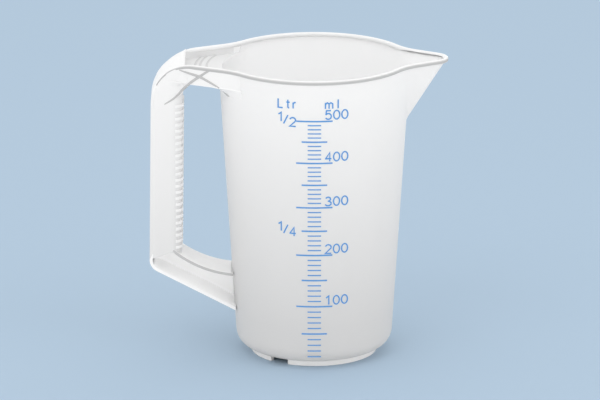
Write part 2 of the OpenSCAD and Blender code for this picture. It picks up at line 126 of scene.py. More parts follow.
@dataclass(frozen=True)
class Jug:
    """Sizes that all sub-assemblies share, in millimetres and degrees."""

    height: float = 137.0
    base_radius: float = 34.75
    mouth_radius: float = 43.35
    wall: float = 1.4
    lip_height: float = 1.8
    lip_out: float = 0.3
    bridge_angle: float = 26.0
    bridge_blend: float = 30.0
    flank_run: float = 7.1
    bridge_depth: float = 9.0
    tray_depth: float = 4.5
    tray_margin: float = 1.1
    finger_gap: float = 15.75
    grip_depth: float = 14.4
    grip_half: float = 10.0
    shoulder_radius: float = 20.0
    lean: float = 0.7

    @property
    def flare(self) -> float:
        """Growth of the cup's radius for each millimetre of height."""
        return (self.mouth_radius - self.base_radius) / self.height

    @property
    def lip_bottom(self) -> float:
        """Height of the lip's underside."""
        return self.height - self.lip_height

    @property
    def hole_top(self) -> float:
        """Height of the top of the finger hole."""
        return self.height - self.bridge_depth

    @property
    def tray_floor(self) -> float:
        """Height of the tray's floor."""
        return self.height - self.tray_depth

    @property
    def grip_inner(self) -> float:
        """Distance from the cup axis to the grip's inner face."""
        return self.mouth_radius + self.finger_gap

    @property
    def grip_back(self) -> float:
        """Distance from the cup axis to the grip's back."""
        return self.grip_inner + self.grip_depth

    @property
    def tray_reach(self) -> float:
        """Distance from the cup axis to the tray's outer end."""
        return self.grip_inner - self.tray_margin

    @property
    def bridge_normal(self) -> float:
        """Heading of the rear flank's outward normal."""
        return 90.0 + self.bridge_angle

    @property
    def flank_end(self) -> float:
        """Distance from the cup axis at which a flank reaches the grip's width."""
        return self.grip_inner + self.flank_run

    @property
    def bridge_offset(self) -> float:
        """Distance from the cup axis to a flank's plane."""
        return dot((-self.flank_end, self.grip_half), heading(self.bridge_normal))

    @property
    def bridge_heading(self) -> float:
        """Heading at which the rim leaves its circle for the bridge."""
        share = (self.bridge_offset + self.bridge_blend) / (self.mouth_radius + self.bridge_blend)
        return self.bridge_normal + math.degrees(math.acos(share))

    @property
    def slope(self) -> float:
        """Distance by which the grip leans out for each millimetre of height."""
        return math.tan(math.radians(self.lean))

    @property
    def shoulder_centre(self) -> Point:
        """Place of the shoulder arc's centre, seen from the front."""
        return self.shoulder_radius / heading(self.lean)[0] - self.grip_back, self.height - self.shoulder_radius

    def outer_radius(self, z: float) -> float:
        """Gives the cup's outer radius at a height."""
        return self.base_radius + self.flare * z

    def flank_path(self, inset: float, reach: float, steps: int = 14) -> list[Point]:
        """Gives the rear flank's line in plan, from the rim circle out to a distance from the axis.

        Args:
            inset: Distance of the line inside the flank's outer face.
            reach: Distance from the cup axis at which the line ends.
            steps: Steps of the arc that leads into the flank, and of the straight stretch after it.

        Returns:
            The points of the line.
        """
        turn = self.bridge_heading
        centre = polar(self.mouth_radius + self.bridge_blend, turn)
        points = arc(centre, self.bridge_blend + inset, turn + 180.0, self.bridge_normal + 180.0, steps)
        return points + [(-x, self.flank_y(-x, inset)) for x in spread(-points[-1][0], reach, steps)[1:]]

    def flank_y(self, x: float, inset: float = 0.0) -> float:
        """Gives half the width of bridge and grip at a place along the handle."""
        across = heading(self.bridge_normal)
        sloped = (self.bridge_offset - inset - x * across[0]) / across[1]
        return max(sloped, self.grip_half - inset)


JUG = Jug()


def metres(x: float, y: float, z: float) -> Vector:
    """Gives a point in metres from one in millimetres."""
    return Vector((x, y, z)) * MM


def deselect() -> None:
    """Leaves nothing selected, since operators act on all that is."""
    bpy.ops.object.select_all(action="DESELECT")


def focus(*pieces: bpy.types.Object) -> None:
    """Selects these pieces alone and makes the first of them active."""
    deselect()
    for piece in pieces:
        piece.select_set(True)
    bpy.context.view_layer.objects.active = pieces[0]


def on_faces(piece: bpy.types.Object, chosen: Callable[[bmesh.types.BMFace], bool], act: Callable[[], object]) -> None:
    """Runs an edit mode operator on the faces of a piece that a test picks.

    Args:
        piece: The piece.
        chosen: The test, called with each face.
        act: Calls the operator.
    """
    focus(piece)
    bpy.ops.object.mode_set(mode="EDIT")
    shape = bmesh.from_edit_mesh(piece.data)
    for face in shape.faces:
        face.select_set(False)
    for face in shape.faces:
        if chosen(face):
            face.select_set(True)
    bmesh.update_edit_mesh(piece.data)
    act()
    bpy.ops.object.mode_set(mode="OBJECT")


def modify(piece: bpy.types.Object, kind: str, **values: object) -> None:
    """Adds a modifier to a piece, sets its values and applies it."""
    bpy.context.view_layer.objects.active = piece
    modifier = piece.modifiers.new(kind.lower(), kind)
    for name, value in values.items():
        setattr(modifier, name, value)
    bpy.ops.object.modifier_apply(modifier=modifier.name)


def bevel(piece: bpy.types.Object, width: float, segments: int = 2, angle: float = 40.0) -> None:
    """Rounds a piece's edges that are sharper than an angle in degrees."""
    limit = {"limit_method": "ANGLE", "angle_limit": math.radians(angle)}
    modify(piece, "BEVEL", width=width * MM, segments=segments, **limit)


def smooth(piece: bpy.types.Object, angle: float = 35.0) -> None:
    """Shades a piece smooth where its faces meet at less than an angle in degrees."""
    focus(piece)
    bpy.ops.object.shade_smooth_by_angle(angle=math.radians(angle))


def through_rings(
    name: str, rings: Sequence[Sequence[Place]], weights: Sequence[Sequence[float]] | None = None
) -> bpy.types.Object:
    """Models a closed shell by extruding a capped ring from one outline to the next.

    Args:
        name: Name of the new piece.
        rings: Outlines of equally many points, in millimetres.
        weights: For each point, how much painted shade it takes, from 0 to 1.

    Returns:
        The piece, with its normals outward.
    """
    deselect()
    count = len(rings[0])
    bpy.ops.mesh.primitive_circle_add(vertices=count, radius=MM, fill_type="NGON")
    piece = bpy.context.object
    piece.name = name
    bpy.ops.object.mode_set(mode="EDIT")
    shape = bmesh.from_edit_mesh(piece.data)
    shape.verts.layers.float.new(PAINTED_RIM_SHADE)
    shape.verts.ensure_lookup_table()
    ring = list(range(count))
    for place, vertex in zip(rings[0], ring):
        shape.verts[vertex].co = metres(*place)
    placed = [ring]
    for outline in rings[1:]:
        bpy.ops.mesh.extrude_region_move()
        shape = bmesh.from_edit_mesh(piece.data)
        shape.verts.ensure_lookup_table()
        old = set(ring)
        following = []
        for vertex in ring:
            for edge in shape.verts[vertex].link_edges:
                other = edge.other_vert(shape.verts[vertex])
                if other.select and other.index not in old:
                    following.append(other.index)
                    break
        ring = following
        placed.append(ring)
        for place, vertex in zip(outline, ring, strict=True):
            shape.verts[vertex].co = metres(*place)
    if weights:
        layer = shape.verts.layers.float[PAINTED_RIM_SHADE]
        for found, values in zip(placed, weights):
            for vertex, value in zip(found, values):
                shape.verts[vertex][layer] = value
    bmesh.update_edit_mesh(piece.data)
    bpy.ops.mesh.select_all(action="SELECT")
    bpy.ops.mesh.normals_make_consistent(inside=False)
    bpy.ops.object.mode_set(mode="OBJECT")
    return piece


def unite(pieces: Sequence[bpy.types.Object]) -> bpy.types.Object:
    """Joins overlapping closed shells into the first of them, without inner faces."""
    first, *others = pieces
    for other in others:
        modify(first, "BOOLEAN", object=other, operation="UNION", solver="MANIFOLD")
        bpy.data.objects.remove(other)
    return first


def join(pieces: Sequence[bpy.types.Object]) -> bpy.types.Object:
    """Joins separate pieces into the first of them."""
    focus(*pieces)
    bpy.ops.object.join()
    return pieces[0]


@dataclass
class Cup:
    """The tapered cup with its spout, round corner and floor."""

    jug: Jug = JUG
    corner_radius: float = 8.0
    foot_height: float = 2.4
    spout_length: float = 16.65
    spout_tip_radius: float = 8.0
    spout_angle: float = 30.5
    spout_keel_radius: float = 2.2
    spout_depth: float = 29.0
    spout_blend: float = 25.0
    rim_overlap: float = 1.0
    corner_steps: int = 8
    spout_steps: int = 16
    spout_rings: int = 16
    plain_rings: int = 8
    far_steps: int = 47
    floor_radii: tuple[float, ...] = (1.0, 9.0, 18.0)
    fine_turn: float = 40.0
    seam_turn: float = 4.5
    plain_from: float = 120.0
    tray_sink: float = 0.6
    spout_margin: float = 0.05
    soft_angle: float = 40.0

    @property
    def spout_low(self) -> float:
        """Height of the keel's lower end."""
        return self.jug.height - self.spout_depth

    @property
    def corner_centre(self) -> Point:
        """Radius and height of the corner's centre."""
        z = self.foot_height + self.corner_radius
        tilt = math.cos(math.atan(self.jug.flare))
        return self.jug.outer_radius(z) - self.corner_radius / tilt, z

    def headings(self) -> list[float]:
        """Gives the headings of the wall's upright lines, closer together round the spout."""
        near = [float(i) for i in range(int(self.fine_turn))]
        half = near + spread(self.fine_turn, 180.0, self.far_steps)
        return half + [360.0 - a for a in reversed(half[1:-1])]

    def spout_section(self, z: float, inset: float) -> list[Point]:
        """Gives half the spout's outline at a height, from the keel to where it meets the cup."""
        low = self.spout_low
        share = (z - low) / self.spout_depth
        root = self.jug.outer_radius(low)
        reach = self.jug.mouth_radius + self.spout_length
        tip = self.spout_keel_radius + share * (self.spout_tip_radius - self.spout_keel_radius)
        centre = root + share * (reach - root) - tip
        blend = max(self.spout_blend * share, self.spout_keel_radius)
        whole = self.jug.outer_radius(z) + blend
        arcs = tip + blend
        turn = math.degrees(math.acos((centre**2 + whole**2 - arcs**2) / (2 * centre * whole)))
        across = heading(turn)
        normal = bearing((whole * across[0] - centre, whole * across[1]))
        flank = 90.0 - self.spout_angle
        if normal > flank:
            normal = flank
            offset = centre * heading(flank)[0] + tip
            turn = flank - math.degrees(math.acos((offset + blend) / whole))
        keel = arc((centre, 0.0), tip - inset, 0.0, normal, self.spout_steps)
        return keel + arc(polar(whole, turn), blend + inset, normal + 180.0, turn + 180.0, self.spout_steps)

    def radius_at(self, angle: float, z: float, inset: float) -> float:
        """Gives the distance from the axis to the wall, moved inward by inset, along a heading."""
        turn = min(angle, 360.0 - angle)
        plain = self.jug.outer_radius(z) - inset
        if z <= self.spout_low + self.spout_margin or turn > self.fine_turn:
            return plain
        points = self.spout_section(z, inset)
        ray = heading(turn)
        for one, two in zip(points, points[1:]):
            before, after = cross(ray, one), cross(ray, two)
            if before <= TINY and after > 0:
                share = before / (before - after)
                x = one[0] + (two[0] - one[0]) * share
                y = one[1] + (two[1] - one[1]) * share
                return max(math.hypot(x, y), plain)
        return plain

    def ring(self, z: float, inset: float) -> list[Place]:
        """Gives the wall's outline at a height. Between the bridge flanks its top lies level with the tray."""
        found = []
        top = self.jug.lip_bottom + self.rim_overlap
        gap = self.jug.bridge_heading + self.seam_turn
        for angle in self.headings():
            level = z
            if z > self.plain_from and min(angle, 360.0 - angle) > gap:
                share = (z - self.plain_from) / (top - self.plain_from)
                level = self.plain_from + share * (self.jug.tray_floor - self.tray_sink - self.plain_from)
            found.append((*polar(self.radius_at(angle, level, inset), angle), level))
        return found

    def round_ring(self, radius: float, z: float) -> list[Place]:
        """Gives a plain circle with the wall's headings."""
        return [(*polar(radius, angle), z) for angle in self.headings()]

    def wall_levels(self) -> list[float]:
        """Gives the heights of the wall's rings, closer together over the spout."""
        levels = []
        for low, high, steps in (
            (self.corner_centre[1], self.spout_low, self.plain_rings),
            (self.spout_low, self.jug.lip_bottom + self.rim_overlap, self.spout_rings),
        ):
            levels += spread(low, high, steps)[1:]
        return levels

    def build(self) -> bpy.types.Object:
        """Models the cup as one closed shell, outside and inside."""
        x, z = self.corner_centre
        tilt = math.degrees(math.atan(self.jug.flare))
        outside = arc((x, z), self.corner_radius, -90.0, -tilt, self.corner_steps)
        inside = arc((x, z), self.corner_radius - self.jug.wall, -tilt, -90.0, self.corner_steps)
        levels = self.wall_levels()
        floor = self.foot_height + self.jug.wall
        rings = [self.round_ring(r, self.foot_height) for r in self.floor_radii]
        rings += [self.round_ring(r, h) for r, h in outside]
        rings += [self.ring(h, 0.0) for h in levels]
        rings += [self.ring(h, self.jug.wall) for h in reversed(levels)]
        rings += [self.round_ring(r, h) for r, h in inside]
        rings += [self.round_ring(r, floor) for r in reversed(self.floor_radii)]
        cup = through_rings("cup_moulding", rings)
        smooth(cup, self.soft_angle)
        return cup


@dataclass
class FootRing:
    """The low ring under the floor, broken by two notches."""

    jug: Jug = JUG
    height: float = 2.4
    setback: float = 6.25
    width: float = 2.0
    notch_length: float = 9.0
    notch_turn: float = -34.0
    sink: float = 0.5
    edge: float = 0.3
    steps: int = 56

    def build(self) -> bpy.types.Object:
        """Models both curved halves of the ring."""
        outer = self.jug.base_radius - self.setback
        inner = outer - self.width
        half_gap = math.degrees(math.asin(self.notch_length / 2 / outer))
        top = self.height + self.sink
        corners = ((inner, 0.0), (outer, 0.0), (outer, top), (inner, top))
        halves = []
        for middle in (self.notch_turn, self.notch_turn + 180.0):
            turns = spread(middle - 90.0 + half_gap, middle + 90.0 - half_gap, self.steps)
            rings = [[(*polar(r, turn), z) for r, z in corners] for turn in turns]
            half = through_rings(f"foot_half_{len(halves)}", rings)
            bevel(half, self.edge)
            halves.append(half)
        ring = join(halves)
        ring.name = "foot_ring_moulding"
        smooth(ring)
        return ring


@dataclass
class Rim:
    """The thick rounded lip round the mouth, the spout and the bridge, which thins out over the shoulder."""

    jug: Jug = JUG
    cup: Cup = field(default_factory=Cup)
    round_steps: int = 40
    shoulder_steps: int = 16
    shoulder_turn: float = 62.0
    thin_share: float = 0.35
    end_sink: float = 0.12
    blend_steps: int = 14
    soft_angle: float = 60.0

    def profile(self) -> list[tuple[float, float, float]]:
        """Gives the lip's section: how far a point stands out of the wall, its drop below the top, and how much
        painted shade it takes.
        """
        out = self.jug.lip_out
        deep = -self.jug.wall - self.jug.lip_out
        low = self.jug.lip_height
        # Each point's last value is its painted shade: full on the lip's outer face, none on the inner side.
        return [
            (out - 0.25, low + 0.05, 0.3), (out - 0.02, low - 0.3, 1.0), (out, 0.8, 1.0), (out - 0.12, 0.35, 0.6),
            (out - 0.42, 0.07, 0.0), (out - 0.8, 0.0, 0.0), (deep + 0.8, 0.0, 0.0), (deep + 0.42, 0.07, 0.0),
            (deep + 0.12, 0.35, 0.0), (deep, 0.8, 0.0), (deep + 0.02, low - 0.3, 0.0), (deep + 0.25, low + 0.05, 0.0),
        ]

    def half_outline(self, grow: float) -> list[Point]:
        """Gives half the mouth's outline in plan, moved outward by grow, from the spout's tip to the shoulder."""
        cup, jug = self.cup, self.jug
        flank = 90.0 - cup.spout_angle
        reach = jug.mouth_radius + cup.spout_length
        tip = (reach - cup.spout_tip_radius, 0.0)
        offset = tip[0] * heading(flank)[0] + cup.spout_tip_radius
        share = (offset + cup.spout_blend) / (jug.mouth_radius + cup.spout_blend)
        turn = flank - math.degrees(math.acos(share))
        middle = polar(jug.mouth_radius + cup.spout_blend, turn)
        points = arc(tip, cup.spout_tip_radius + grow, 0.0, flank, self.blend_steps)
        points += arc(middle, cup.spout_blend - grow, flank + 180.0, turn + 180.0, self.blend_steps)
        points += arc((0.0, 0.0), jug.mouth_radius + grow, turn, jug.bridge_heading, self.round_steps)[1:-1]
        return points + jug.flank_path(-grow, -jug.shoulder_centre[0])

    def column(self, grow: float, drop: float) -> list[Place]:
        """Gives the line that one point of the section follows, from the tip over the rear half to its end."""
        jug = self.jug
        line = [(x, y, jug.height - drop) for x, y in self.half_outline(grow)]
        centre = jug.shoulder_centre
        for share in spread(0.0, 1.0, self.shoulder_steps)[1:]:
            thin = 1.0 - (1.0 - self.thin_share) * share
            angle = 90.0 + self.shoulder_turn * share
            edge = jug.flank_y(polar(jug.shoulder_radius, angle, centre)[0])
            x, z = polar(jug.shoulder_radius - drop * thin, angle, centre)
            line.append((x, edge + grow * thin - self.end_sink * share, z))
        return line

    def build(self) -> bpy.types.Object:
        """Models the lip by carrying its section along the mouth's outline."""
        columns, weights = [], []
        for grow, drop, painted_rim_shade in self.profile():
            half = self.column(grow, drop)
            columns.append([(x, -y, z) for x, y, z in reversed(half)][:-1] + half)
            weights.append(painted_rim_shade)
        rings = [list(ring) for ring in zip(*columns)]
        rim = through_rings("rim_moulding", rings, [weights] * len(rings))
        smooth(rim, self.soft_angle)
        return rim


@dataclass
class Handle:
    """The bridge with its tray, the shoulder, the hollow grip and the lower arm."""

    jug: Jug = JUG
    finger_radius: float = 4.5
    back_radius: float = 2.0
    grip_low: float = 45.3
    grip_heel: float = 2.0
    grip_rise: float = 9.5
    plate_radius: float = 48.0
    plate_centre: float = 32.3
    plate_low: float = 38.0
    plate_top: float = 49.0
    arm_slope: float = 27.5
    arm_root: float = 20.2
    heel_radius: float = 6.0
    web_offset: float = 7.4
    overlap: float = 0.7
    edge: float = 0.35
    skin_edge: float = 0.5
    skin_drop: float = 2.0
    corner_steps: int = 5
    arm_steps: int = 12
    fillet_reach: float = 4.0
    fillet_height: float = 6.0
    fillet_steps: int = 8
    wide_turn: float = 172.0
    wide_run: float = 14.0
    least_reach: float = 0.05
    least_rate: float = 0.05
    foot_inset: float = 0.05
    tray_cover: float = 0.05
    end_wall_rise: float = 0.1
    cup_side_steps: int = 16
    cup_room: float = 0.15
    grip_room: float = 0.1
    free_room: float = 9.0
    surface_sink: float = 0.03
    hidden: float = 0.5
    flank_bite: float = 0.4
    flank_steps: int = 24
    shoulder_steps: int = 22
    collar_steps: int = 48
    collar_start: float = 1.0
    turn_steps: int = 8
    straight_steps: int = 4
    straight_step: float = 0.5
    side_steps: int = 10
    grip_steps: int = 6
    plate_steps: int = 24
    heel_steps: int = 10
    heel_rise: float = 2.0
    heel_point: float = 0.4
    web_steps: int = 16
    web_top: float = 2.5
    least_web: float = 0.3

    @property
    def plate_middle(self) -> Point:
        """Place of the centre of the upper plate's curve, seen from the front."""
        return -self.plate_centre, self.plate_low + self.plate_radius

    @property
    def back_normal(self) -> float:
        """Heading of the grip's back."""
        return 180.0 - self.jug.lean

    @property
    def under_normal(self) -> float:
        """Heading of the lower plate's underside."""
        return 270.0 - self.arm_slope

    @property
    def under_offset(self) -> float:
        """Distance from the origin to the lower plate's underside."""
        return dot((-self.jug.base_radius, self.arm_root), heading(self.under_normal))

    @property
    def heel_centre(self) -> Point:
        """Place of the heel arc's centre, seen from the front."""
        back, under = heading(self.back_normal), heading(self.under_normal)
        p = dot(self.jug.shoulder_centre, back) + self.jug.shoulder_radius - self.heel_radius
        q = self.under_offset - self.heel_radius
        scale = cross(back, under)
        return (p * under[1] - q * back[1]) / scale, (q * back[0] - p * under[0]) / scale

    def flank_top(self, x: float) -> float:
        """Gives the height to which a flank rises at a place along the handle."""
        centre = self.jug.shoulder_centre
        radius = self.jug.shoulder_radius - self.overlap
        if x >= centre[0]:
            return self.jug.height - self.overlap
        rise = radius**2 - (x - centre[0]) ** 2
        return centre[1] + math.sqrt(max(rise, 0.0))

    def flank_foot(self, x: float, y: float) -> Place:
        """Gives the lower edge of the flank's outer face under a place of its upper edge."""
        jug = self.jug
        share = min(max(1.0 - (-jug.grip_inner + self.fillet_reach - x) / self.fillet_reach, 0.0), 1.0)
        drop = self.fillet_height * (1.0 - share) ** 3
        return x, y - (y - jug.grip_half + self.foot_inset) * (1.0 - share) ** 2, jug.hole_top - drop

    def flank(self, side: Side) -> bpy.types.Object:
        """Models one flank of the bridge, from inside the cup's wall to inside the shoulder."""
        jug = self.jug
        centre = jug.shoulder_centre
        rise = jug.hole_top + self.flank_bite - centre[1]
        reach = math.sqrt((jug.shoulder_radius - self.overlap) ** 2 - rise**2) - centre[0]
        steps = self.flank_steps
        outer = jug.flank_path(0.0, reach, steps)
        inner = jug.flank_path(jug.wall, reach, steps)
        rings = []
        for i, (out, deep) in enumerate(zip(outer, inner)):
            near = max(0.0, 1.0 - i / steps)
            turn = heading(bearing(out))
            sunk = self.overlap * max(0.0, 1.0 - 3.0 * i / steps) ** 2
            top = (out[0] - sunk * turn[0], out[1] - sunk * turn[1])
            sunk += jug.flare * jug.bridge_depth * near
            foot = self.flank_foot(out[0] - sunk * turn[0], out[1] - sunk * turn[1])
            inside = self.flank_foot(*deep)
            ring = [(inside[0], min(inside[1], foot[1] - jug.wall), inside[2]), foot]
            ring += [(*top, self.flank_top(out[0])), (*deep, self.flank_top(deep[0]))]
            rings.append([(x, side.value * y, z) for x, y, z in ring])
        return through_rings(f"flank_{side.name.lower()}", rings)

    def floor_plate(self, name: str, low: float, high: float, reach: float, cover: float) -> bpy.types.Object:
        """Models a level plate between the flanks, out to a distance.

        Args:
            name: Name of the new piece.
            low: Height of the plate's underside.
            high: Height of the plate's top.
            reach: Distance from the cup axis at which the plate ends.
            cover: How far the plate reaches into the cup's wall.

        Returns:
            The plate.
        """
        jug = self.jug
        inside = jug.outer_radius(low) - cover
        path = [p for p in jug.flank_path(self.overlap, reach) if math.hypot(*p) > inside]
        turn = bearing(path[0])
        cup_side = arc((0.0, 0.0), inside, 360.0 - turn, turn, self.cup_side_steps)
        outline = cup_side + path + mirrored(path)
        rings = [[(x, y, z) for x, y in outline] for z in (low, high)]
        return through_rings(name, rings)

    def end_wall(self) -> bpy.types.Object:
        """Models the upright wall that closes the tray's outer end."""
        jug = self.jug
        rings = []
        for z in (jug.tray_floor - jug.wall + self.end_wall_rise, jug.height - self.overlap):
            ring = []
            for x, share in ((0.0, -1), (jug.wall, -1), (jug.wall, 1), (0.0, 1)):
                place = -jug.tray_reach - x
                ring.append((place, share * jug.flank_y(place, self.overlap), z))
            rings.append(ring)
        return through_rings("tray_end_wall", rings)

    def shoulder(self) -> bpy.types.Object:
        """Models the curved skin from the tray's end over the shoulder to the grip's back."""
        jug = self.jug
        centre = jug.shoulder_centre
        first = math.degrees(math.acos((-jug.tray_reach - centre[0]) / jug.shoulder_radius))
        places = [(0.0, -jug.tray_reach, jug.height, 90.0)]
        steps = self.shoulder_steps
        for share, angle in zip(spread(0.0, 1.0, steps)[1:], spread(first, self.back_normal, steps)[1:]):
            places.append((share, *polar(jug.shoulder_radius, angle, centre), angle))
        _, x, z, _ = places[-1]
        places.append((1.0, x - self.skin_drop * jug.slope, z - self.skin_drop, self.back_normal))
        rings = []
        for share, x, z, angle in places:
            corner = self.skin_edge + share * (self.back_radius - self.skin_edge)
            half = jug.flank_y(x)
            out = heading(angle)
            low = min(corner, jug.wall)
            side = []
            for k in range(self.corner_steps + 1):
                deep = low * (1.0 - k / self.corner_steps) ** 2
                side.append((math.sqrt(corner**2 - (corner - deep) ** 2) - corner, deep))
            ring = [(x - jug.wall * out[0], -half, z - jug.wall * out[1])]
            ring += [(x - d * out[0], -half - s, z - d * out[1]) for s, d in side]
            ring += [(x - d * out[0], half + s, z - d * out[1]) for s, d in reversed(side)]
            ring.append((x - jug.wall * out[0], half, z - jug.wall * out[1]))
            rings.append(ring)
        return through_rings("shoulder", rings)

    def collar(self, name: str, line: Sequence[tuple[Point, Point, float]], taper: float) -> bpy.types.Object:
        """Models the fillet under the bridge along a line.

        Args:
            name: Name of the new piece.
            line: For each station the place in plan, the heading away from the wall, and the fillet's reach.
            taper: How fast the wall under the fillet draws in, for each millimetre downward.

        Returns:
            The fillet, closed at both ends.
        """
        top = self.jug.hole_top
        rings = []
        for (x, y), (dx, dy), reach in line:
            deep = -self.overlap
            ring = [(x + dx * away, y + dy * away, top + self.hidden) for away in (deep, reach)]
            for k in range(self.fillet_steps + 1):
                share = 1.0 - k / self.fillet_steps
                away = reach * share**3 + taper * self.fillet_height * (share - 0.5) - self.surface_sink
                ring.append((x + dx * away, y + dy * away, top - self.fillet_height * (1.0 - share)))
            ring.append((x + dx * deep, y + dy * deep, top - self.fillet_height))
            rings.append(ring)
        return through_rings(name, rings)

    def cup_collar(self) -> bpy.types.Object:
        """Models the fillet between the bridge and the cup."""
        jug = self.jug
        radius = jug.outer_radius(jug.hole_top - self.fillet_height / 2)
        flank_line = jug.flank_path(0.0, jug.flank_end, self.flank_steps)
        path = [(bearing(place), math.hypot(*place)) for place in flank_line]
        line = []
        steps = self.collar_steps
        whole = 360.0 - 2 * self.collar_start
        for i in range(steps + 1):
            turn = jug.bridge_heading + self.collar_start + (whole - 2 * jug.bridge_heading) * i / steps
            near = min(turn, 360.0 - turn)
            flank = next((r for angle, r in path if angle >= near), radius + 2 * self.fillet_reach)
            out = heading(turn)
            wide = min(max((self.wide_turn - near) / self.wide_run, 0.0), 1.0)
            reach = min(self.fillet_reach * (1.0 + wide), max(flank - radius - self.cup_room, self.least_reach))
            line.append(((radius * out[0], radius * out[1]), out, reach))
        return self.collar("cup_collar", line, jug.flare)

    def grip_collar(self) -> bpy.types.Object:
        """Models the fillet between the bridge and the grip."""
        jug = self.jug
        normal = heading(jug.bridge_normal)
        rise = jug.hole_top - self.fillet_height / 2 - jug.height + jug.shoulder_radius
        shift = rise * jug.slope
        half = []
        for i in range(self.turn_steps + 1):
            out = heading(10.0 * i)
            x, y = self.finger_radius * (out[0] - 1.0), jug.grip_half + self.finger_radius * (out[1] - 1.0)
            half.append(((x, y), out))
        for i in range(self.straight_steps + 1):
            half.append(((-self.finger_radius - self.straight_step * i, jug.grip_half), (0.0, 1.0)))
        line = []
        for (x, y), out in half:
            spot = (x + shift - jug.grip_inner, y)
            rate = dot(normal, out)
            room = self.free_room
            if rate > self.least_rate:
                room = (jug.bridge_offset - normal[0] * spot[0] - normal[1] * spot[1]) / rate
            line.append((spot, out, max(min(self.fillet_reach, room - self.grip_room), self.least_reach)))
        other = [((x, -y), (dx, -dy), reach) for (x, y), (dx, dy), reach in line[1:]]
        return self.collar("grip_collar", other[::-1] + line, 0.0)

    def grip_outline(self) -> list[Point]:
        """Gives the grip's section: distance behind its inner face as a negative x, and y."""
        half_width = self.jug.grip_half
        start, end = -self.finger_radius, self.back_radius - self.jug.grip_depth
        half = arc((start, half_width - self.finger_radius), self.finger_radius, 0.0, 90.0, self.turn_steps)
        half += [(x, half_width) for x in spread(start, end, self.side_steps)[1:-1]]
        half += arc((end, half_width - self.back_radius), self.back_radius, 90.0, 180.0, self.corner_steps)
        return half + mirrored(half)

    def grip_bottom(self, x: float) -> float:
        """Gives the height at which the grip's wall ends, at a place along the handle."""
        middle = self.plate_middle
        fall = self.plate_radius**2 - (x - middle[0]) ** 2
        plate = middle[1] - math.sqrt(fall) - self.overlap
        share = min(max((x + self.jug.grip_back - self.grip_heel) / self.grip_rise, 0.0), 1.0)
        return self.grip_low + share**2 * (plate - self.grip_low)

    def grip(self) -> bpy.types.Object:
        """Models the hollow grip as a tube that leans away from the cup."""
        jug = self.jug
        shoulder_z = jug.height - jug.shoulder_radius
        top = jug.hole_top + self.overlap
        rings = []
        steps = self.grip_steps
        for i in range(steps + 1):
            ring = []
            for x, y in self.grip_outline():
                along = -jug.grip_inner + x
                ceiling = min(top, self.flank_top(along) - self.overlap)
                bottom = self.grip_bottom(along)
                z = ceiling + (bottom - ceiling) * i / steps
                ring.append((along + (z - shoulder_z) * jug.slope, y, z))
            rings.append(ring)
        grip = through_rings("grip", rings)
        on_faces(grip, lambda face: len(face.verts) > 4, lambda: bpy.ops.mesh.delete(type="ONLY_FACE"))
        modify(grip, "SOLIDIFY", thickness=jug.wall * MM, offset=-1.0, use_even_offset=True)
        return grip

    def band(self, name: str, outer: Sequence[Point], inner: Sequence[Point], half: float) -> bpy.types.Object:
        """Models a plate of even width from its two lines, seen from the front."""
        rings = [
            [(i[0], -half, i[1]), (o[0], -half, o[1]), (o[0], half, o[1]), (i[0], half, i[1])]
            for o, i in zip(outer, inner)
        ]
        plate = through_rings(name, rings)
        bevel(plate, self.edge)
        return plate

    def upper_plate(self) -> bpy.types.Object:
        """Models the curved plate under the fingers, from inside the cup's wall to the grip's back."""
        jug = self.jug
        middle, radius = self.plate_middle, self.plate_radius
        start = -jug.outer_radius(self.plate_low) + self.overlap
        end = -jug.grip_inner - self.finger_radius
        first, last = (270.0 + math.degrees(math.asin((x - middle[0]) / radius)) for x in (start, end))
        inner, outer = (arc(middle, r, first, last, self.plate_steps) for r in (radius, radius + jug.wall))
        return self.band("arm_upper", outer, inner, jug.grip_half)

    def lower_plate(self) -> bpy.types.Object:
        """Models the sloping plate with the heel that leads up into the grip's back."""
        jug = self.jug
        heel, wall = self.heel_centre, jug.wall
        back = heading(self.back_normal)
        rise = self.grip_low + self.heel_rise - heel[1]
        top = (heel[0] + rise * jug.slope, heel[1] + rise)
        out = heading(self.under_normal)
        start = -jug.outer_radius(self.arm_root) + self.overlap
        outer = [(top[0] + (self.heel_radius - wall) * back[0], top[1] + (self.heel_radius - wall) * back[1])]
        inner = [(outer[0][0] - self.heel_point * back[0], outer[0][1] - self.heel_point * back[1])]
        outer += arc(heel, self.heel_radius, self.back_normal, self.under_normal, self.heel_steps)
        inner += arc(heel, self.heel_radius - wall, self.back_normal, self.under_normal, self.heel_steps)
        for line, offset in ((outer, self.under_offset), (inner, self.under_offset - wall)):
            line += [(x, (offset - x * out[0]) / out[1]) for x in spread(line[-1][0], start, self.arm_steps)[1:]]
        return self.band("arm_lower", outer, inner, jug.grip_half)

    def web(self) -> bpy.types.Object:
        """Models the recessed plate that closes the rear of the lower arm."""
        jug = self.jug
        middle = self.plate_middle
        out = heading(self.under_normal)
        start = -jug.outer_radius(self.arm_root) + self.overlap
        end = -jug.grip_back + jug.wall / 2
        rings = []
        for x in spread(start, end, self.web_steps):
            low = (self.under_offset - jug.wall / 2 - x * out[0]) / out[1]
            high = middle[1] - math.sqrt((self.plate_radius + jug.wall / 2) ** 2 - (x - middle[0]) ** 2)
            if x < -jug.grip_inner - self.finger_radius / 2:
                high = max(high, self.grip_low + self.web_top)
            reach = abs(self.heel_centre[0] - x)
            if x < self.heel_centre[0]:
                deep = self.heel_radius - jug.wall / 2
                low = max(low, self.heel_centre[1] - math.sqrt(max(deep**2 - reach**2, 0.0)))
            high = max(high, low + self.least_web)
            near, far = self.web_offset, self.web_offset + jug.wall
            rings.append([(x, near, low), (x, near, high), (x, far, high), (x, far, low)])
        return through_rings("arm_web_plate", rings)

